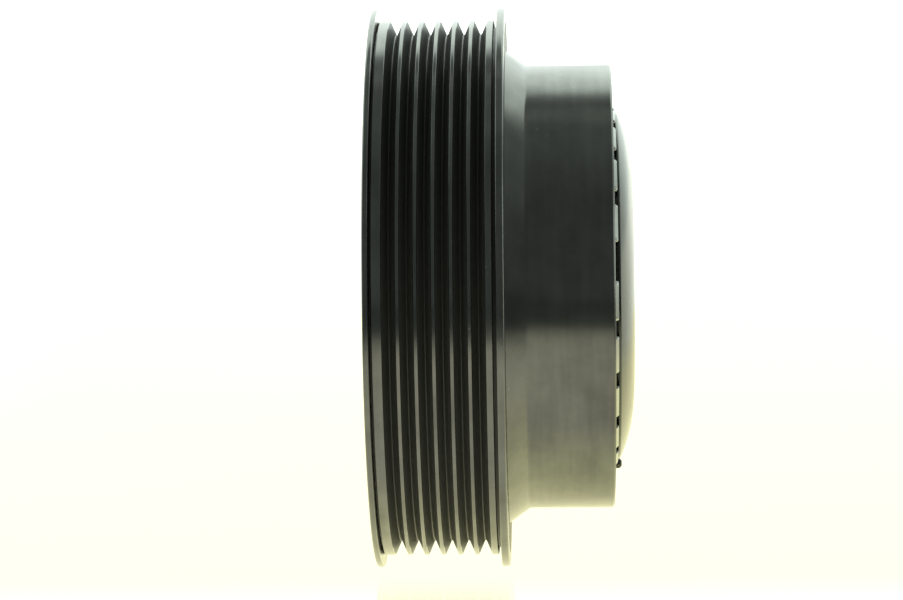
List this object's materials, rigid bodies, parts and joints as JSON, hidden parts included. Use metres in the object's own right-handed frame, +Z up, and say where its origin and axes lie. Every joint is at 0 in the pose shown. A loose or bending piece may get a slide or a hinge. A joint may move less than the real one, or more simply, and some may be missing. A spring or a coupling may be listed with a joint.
{
  "type": "electromagnetic clutch",
  "caption": "Compressor clutch: grooved belt pulley on a deep steel drum, domed hub cover, sprung armature, ball bearing and fixed coil.",
  "frame": {"origin": "on the clutch's axis, in the middle of the belt grooves, inside the bearing's bore", "axes": "+X along the clutch's axis, out of its domed front; -X towards the compressor; +Z up, as the clutch stands"},
  "size_m": [0.0545, 0.1186, 0.1186],
  "materials": {
    "band_steel": "turned, satin, dark grey-olive",
    "drum_steel": "turned, satin, dark grey-olive",
    "friction_material": "dull moulded friction compound",
    "bearing_steel": "ground",
    "ball_steel": "polished",
    "cage_plastic": "moulded",
    "seal_rubber": "moulded",
    "spring_steel": "black oxide",
    "plate_steel": "zinc plated",
    "coil_steel": "black coated",
    "bobbin_plastic": "moulded",
    "copper": "enamelled wire",
    "resin": "cast",
    "fuse_shell": "moulded",
    "rivet_steel": "zinc plated",
    "pin_steel": "ground",
    "terminal_plastic": "moulded",
    "terminal_brass": "stamped",
    "boss_steel": "turned",
    "cover_steel": "satin grey-green coating",
    "damper_rubber": "moulded",
    "nut_steel": "bright zinc plated",
    "carrier_steel": "stamped, satin",
    "balance_steel": "dark",
    "armature_steel": "ground"
  },
  "bodies": {
    "coil": {"mounting_plate": "plate_steel", "coil_housing": "coil_steel", "coil_bobbin": "bobbin_plastic", "coil_winding": "copper", "thermal_fuse": "fuse_shell", "coil_potting": "resin", "plate_rivets": "rivet_steel", "anti_rotation_pin": "pin_steel", "terminal_block": "terminal_plastic", "terminal_blades": "terminal_brass", "coil_snap_ring": "spring_steel", "bearing_inner_ring": "bearing_steel", "nose_snap_ring": "spring_steel"},
    "rotor": {"belt_band": "band_steel", "rotor_drum": "drum_steel", "friction_lining": "friction_material", "bearing_outer_ring": "bearing_steel", "bearing_seal_front": "seal_rubber", "bearing_seal_rear": "seal_rubber", "bearing_circlip": "spring_steel"},
    "cage": {"bearing_cage": "cage_plastic", "bearing_balls": "ball_steel"},
    "hub": {"hub_boss": "boss_steel", "hub_cover": "cover_steel", "hub_rivets": "rivet_steel", "rubber_damper": "damper_rubber", "hub_washer": "nut_steel", "hub_nut": "nut_steel", "air_gap_shims": "spring_steel"},
    "carrier": {"carrier_ring": "carrier_steel", "balance_pin": "balance_steel", "carrier_rivets": "rivet_steel", "leaf_spring_1": "spring_steel", "leaf_spring_2": "spring_steel", "leaf_spring_3": "spring_steel"},
    "armature": {"armature_plate": "armature_steel", "armature_rivets": "rivet_steel"}
  },
  "joints": [
    {"name": "rotor_spin", "type": "hinge", "parent": "coil", "child": "rotor", "pos_m": [0, 0, 0], "axis": [1, 0, 0], "continuous": true},
    {"name": "cage_spin", "type": "hinge", "parent": "coil", "child": "cage", "pos_m": [0, 0, 0], "axis": [1, 0, 0], "continuous": true},
    {"name": "hub_spin", "type": "hinge", "parent": "coil", "child": "hub", "pos_m": [0, 0, 0], "axis": [1, 0, 0], "continuous": true},
    {"name": "damper_twist", "type": "hinge", "parent": "hub", "child": "carrier", "pos_m": [0, 0, 0], "axis": [1, 0, 0], "range_deg": [-3, 3], "stiffness_Nm_per_rad": 40},
    {"name": "armature_slide", "type": "slide", "parent": "carrier", "child": "armature", "axis": [-1, 0, 0], "range_m": [0, 0.00048], "stiffness_N_per_m": 20000, "springref_m": -0.0005, "deforming": ["leaf_spring_1", "leaf_spring_2", "leaf_spring_3"]}
  ],
  "couplings": [
    {"joint": "cage_spin", "follows": "rotor_spin", "ratio": 0.5706}
  ]
}
